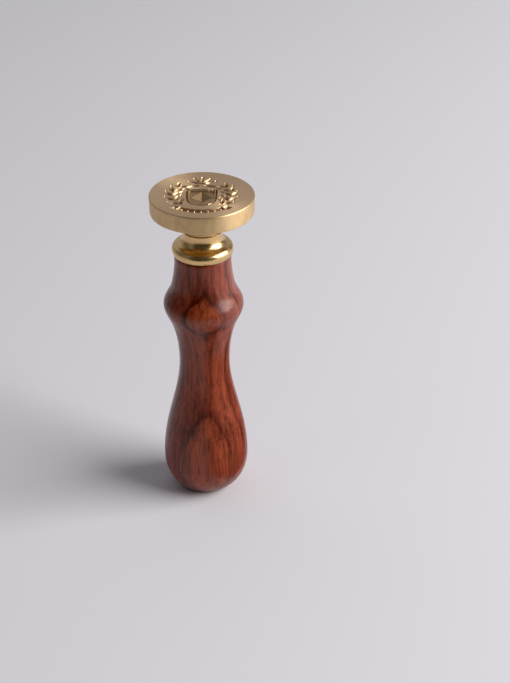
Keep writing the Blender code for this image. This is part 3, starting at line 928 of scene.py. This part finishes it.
def rosewood():
    """Reddish hardwood: each ring darkens outwards to a near-black line, under fibres and pores."""
    material, tree, shader = new_material("rosewood")
    fibres = noise(tree, millimetres(tree, (1, 1, 0.04)), 4.0, 3.0, 0.6)
    shaded = mix_color(tree, 1.0, ring_figure(tree), wood_shade(tree, fibres), "MULTIPLY")
    pore_field = noise(tree, millimetres(tree, (1, 1, 0.05)), 5.0, 2.0, 0.5)
    pores = map_range(tree, pore_field, 0.59, 0.68)
    grain = maths(tree, "SUBTRACT", maths(tree, "MULTIPLY", fibres, 0.3), pores)
    darkened = maths(tree, "MULTIPLY", pores, PORE_DARKNESS)
    set_inputs(tree, shader, {
        "Base Color": mix_color(tree, darkened, shaded, PORE_COLOR),
        "Roughness": map_range(tree, fibres, 0.3, 0.7, 0.46, 0.34),
        "Specular IOR Level": 0.17,
        "Coat Weight": 0.58,
        "Coat Roughness": 0.25,
        "Normal": bump(tree, grain, 0.3, 0.00004),
    })
    return material


def floor_material():
    material, tree, shader = new_material("pale_floor")
    grain = noise(tree, millimetres(tree), 1.5, 4.0, 0.6)
    set_inputs(tree, shader, {
        "Base Color": mix_color(tree, grain, *FLOOR_COLORS),
        "Roughness": 0.75,
        "Specular IOR Level": 0.2,
    })
    return material


# ---------------------------------------------------------------- studio


def make_floor():
    half = FLOOR_SIZE / 2 / MM
    corners = [(-half, -half, 0), (half, -half, 0), (half, half, 0), (-half, half, 0)]
    floor = mesh_object("floor", corners, [(0, 1, 2, 3)], materials=[floor_material()])


def make_world():
    """A room that is dark on the viewer's side, dim to both sides, pale behind and grey above."""
    world = bpy.data.worlds.new("room")
    bpy.context.scene.world = world
    world.use_nodes = True
    tree = world.node_tree
    direction = add_node(tree, "ShaderNodeTexCoord").outputs["Generated"]
    parts = add_node(tree, "ShaderNodeSeparateXYZ", {0: direction}).outputs
    azimuth = maths(tree, "ARCTAN2", parts["X"], maths(tree, "MULTIPLY", parts["Y"], -1.0))
    turn = maths(tree, "ADD", maths(tree, "DIVIDE", azimuth, math.tau), 0.5)
    walls = ramp(tree, turn, [(degrees / 360 + 0.5, (v, v, v)) for degrees, v in ROOM])
    overhead = map_range(tree, parts["Z"], CEILING_FROM, CEILING_FULL)
    radiance = mix_color(tree, overhead, walls, (CEILING, CEILING, CEILING))
    tinted = mix_color(tree, 1.0, radiance, ROOM_TINT, "MULTIPLY")
    tree.links.new(tinted, tree.nodes["Background"].inputs["Color"])


def make_card(name, start, end, height, color):
    """A card standing on the floor, which only reflections see."""
    corners = [(*start, 0), (*end, 0), (*end, height), (*start, height)]
    material, tree, shader = new_material(name)
    set_inputs(tree, shader, {"Base Color": opaque(color), "Roughness": CARD_ROUGHNESS})
    card = mesh_object(name, corners, [(0, 1, 2, 3)], materials=[material])
    card.visible_camera = False
    card.visible_diffuse = False
    card.visible_shadow = False


def direction_from(azimuth, elevation):
    """Unit vector towards a light: azimuth 0 is the viewer's side, and positive goes to the right."""
    flat = math.cos(elevation)
    return (flat * math.sin(azimuth), -flat * math.cos(azimuth), math.sin(elevation))


def make_key_light():
    light = bpy.data.lights.new("window", "AREA")
    light.shape = "RECTANGLE"
    light.size = KEY_WIDTH
    light.size_y = KEY_HEIGHT
    light.energy = KEY_POWER
    light.color = KEY_COLOR
    window = bpy.data.objects.new("window", light)
    bpy.context.scene.collection.objects.link(window)
    x, y, z = direction_from(KEY_AZIMUTH, KEY_ELEVATION)
    window.location = (x * KEY_DISTANCE, y * KEY_DISTANCE, z * KEY_DISTANCE)
    window.rotation_euler = (math.pi / 2 - KEY_ELEVATION, 0, KEY_AZIMUTH)


def make_camera():
    camera = bpy.data.cameras.new("camera")
    camera.lens = CAMERA_LENS
    camera.sensor_width = SENSOR_WIDTH
    camera.clip_start = 0.01
    obj = bpy.data.objects.new("camera", camera)
    bpy.context.scene.collection.objects.link(obj)
    obj.location = CAMERA_PLACE
    obj.rotation_euler = (CAMERA_PITCH, 0.0, 0.0)
    bpy.context.scene.camera = obj


def set_view():
    """Plain colors, with the blacks pulled down a little."""
    view = bpy.context.scene.view_settings
    view.view_transform = "Standard"
    view.use_curve_mapping = True
    view.curve_mapping.black_level = (BLACK_LEVEL, BLACK_LEVEL, BLACK_LEVEL)


def dress(piece, body, node):
    """Puts a piece on its body, in its CAD node's place, and hides that node."""
    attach(piece, body)
    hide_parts(node)


make_camera()
make_world()
make_key_light()
make_floor()
make_card("black_card", *BLACK_CARD)
make_card("red_card", *RED_CARD)
dress(make_handle(rosewood()), "grip", "handle")
dress(make_stud(zinc_steel()), "grip", "threaded_stud")
dress(make_collar(polished_brass()), "spacer", "collar")
dress(
    make_die([satin_face_brass(), satin_side_brass(), shaded_underside_brass()]),
    "die", "seal_die",
)
set_view()
